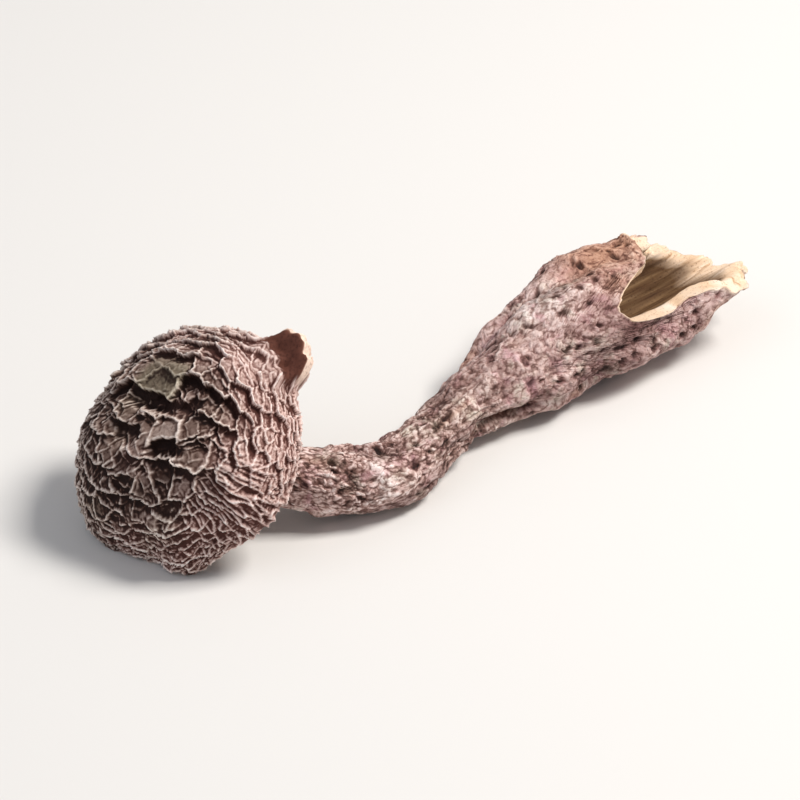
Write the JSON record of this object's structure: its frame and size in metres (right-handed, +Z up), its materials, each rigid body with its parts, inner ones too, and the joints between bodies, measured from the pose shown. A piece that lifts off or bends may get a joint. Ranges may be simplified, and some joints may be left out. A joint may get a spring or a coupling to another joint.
{
  "type": "dried mushroom",
  "caption": "Whole dried mushroom lying down: wrinkled domed cap, gills beneath it, and a bent stem that widens to a torn, hollow foot.",
  "frame": {"origin": "middle of the footprint, on the surface that the mushroom lies on", "axes": "+X along its length from the cap to the foot, +Z up, +Y away from the side that the stem bends out to"},
  "size_m": [0.0938, 0.0276, 0.0231],
  "materials": {
    "cap_skin": "dry, matt, deeply wrinkled",
    "gill": "dry, matt, papery",
    "stem_skin": "dry, matt, grained"
  },
  "bodies": {
    "root": {"cap": "cap_skin", "gills": "gill", "stem": "stem_skin"}
  },
  "joints": []
}
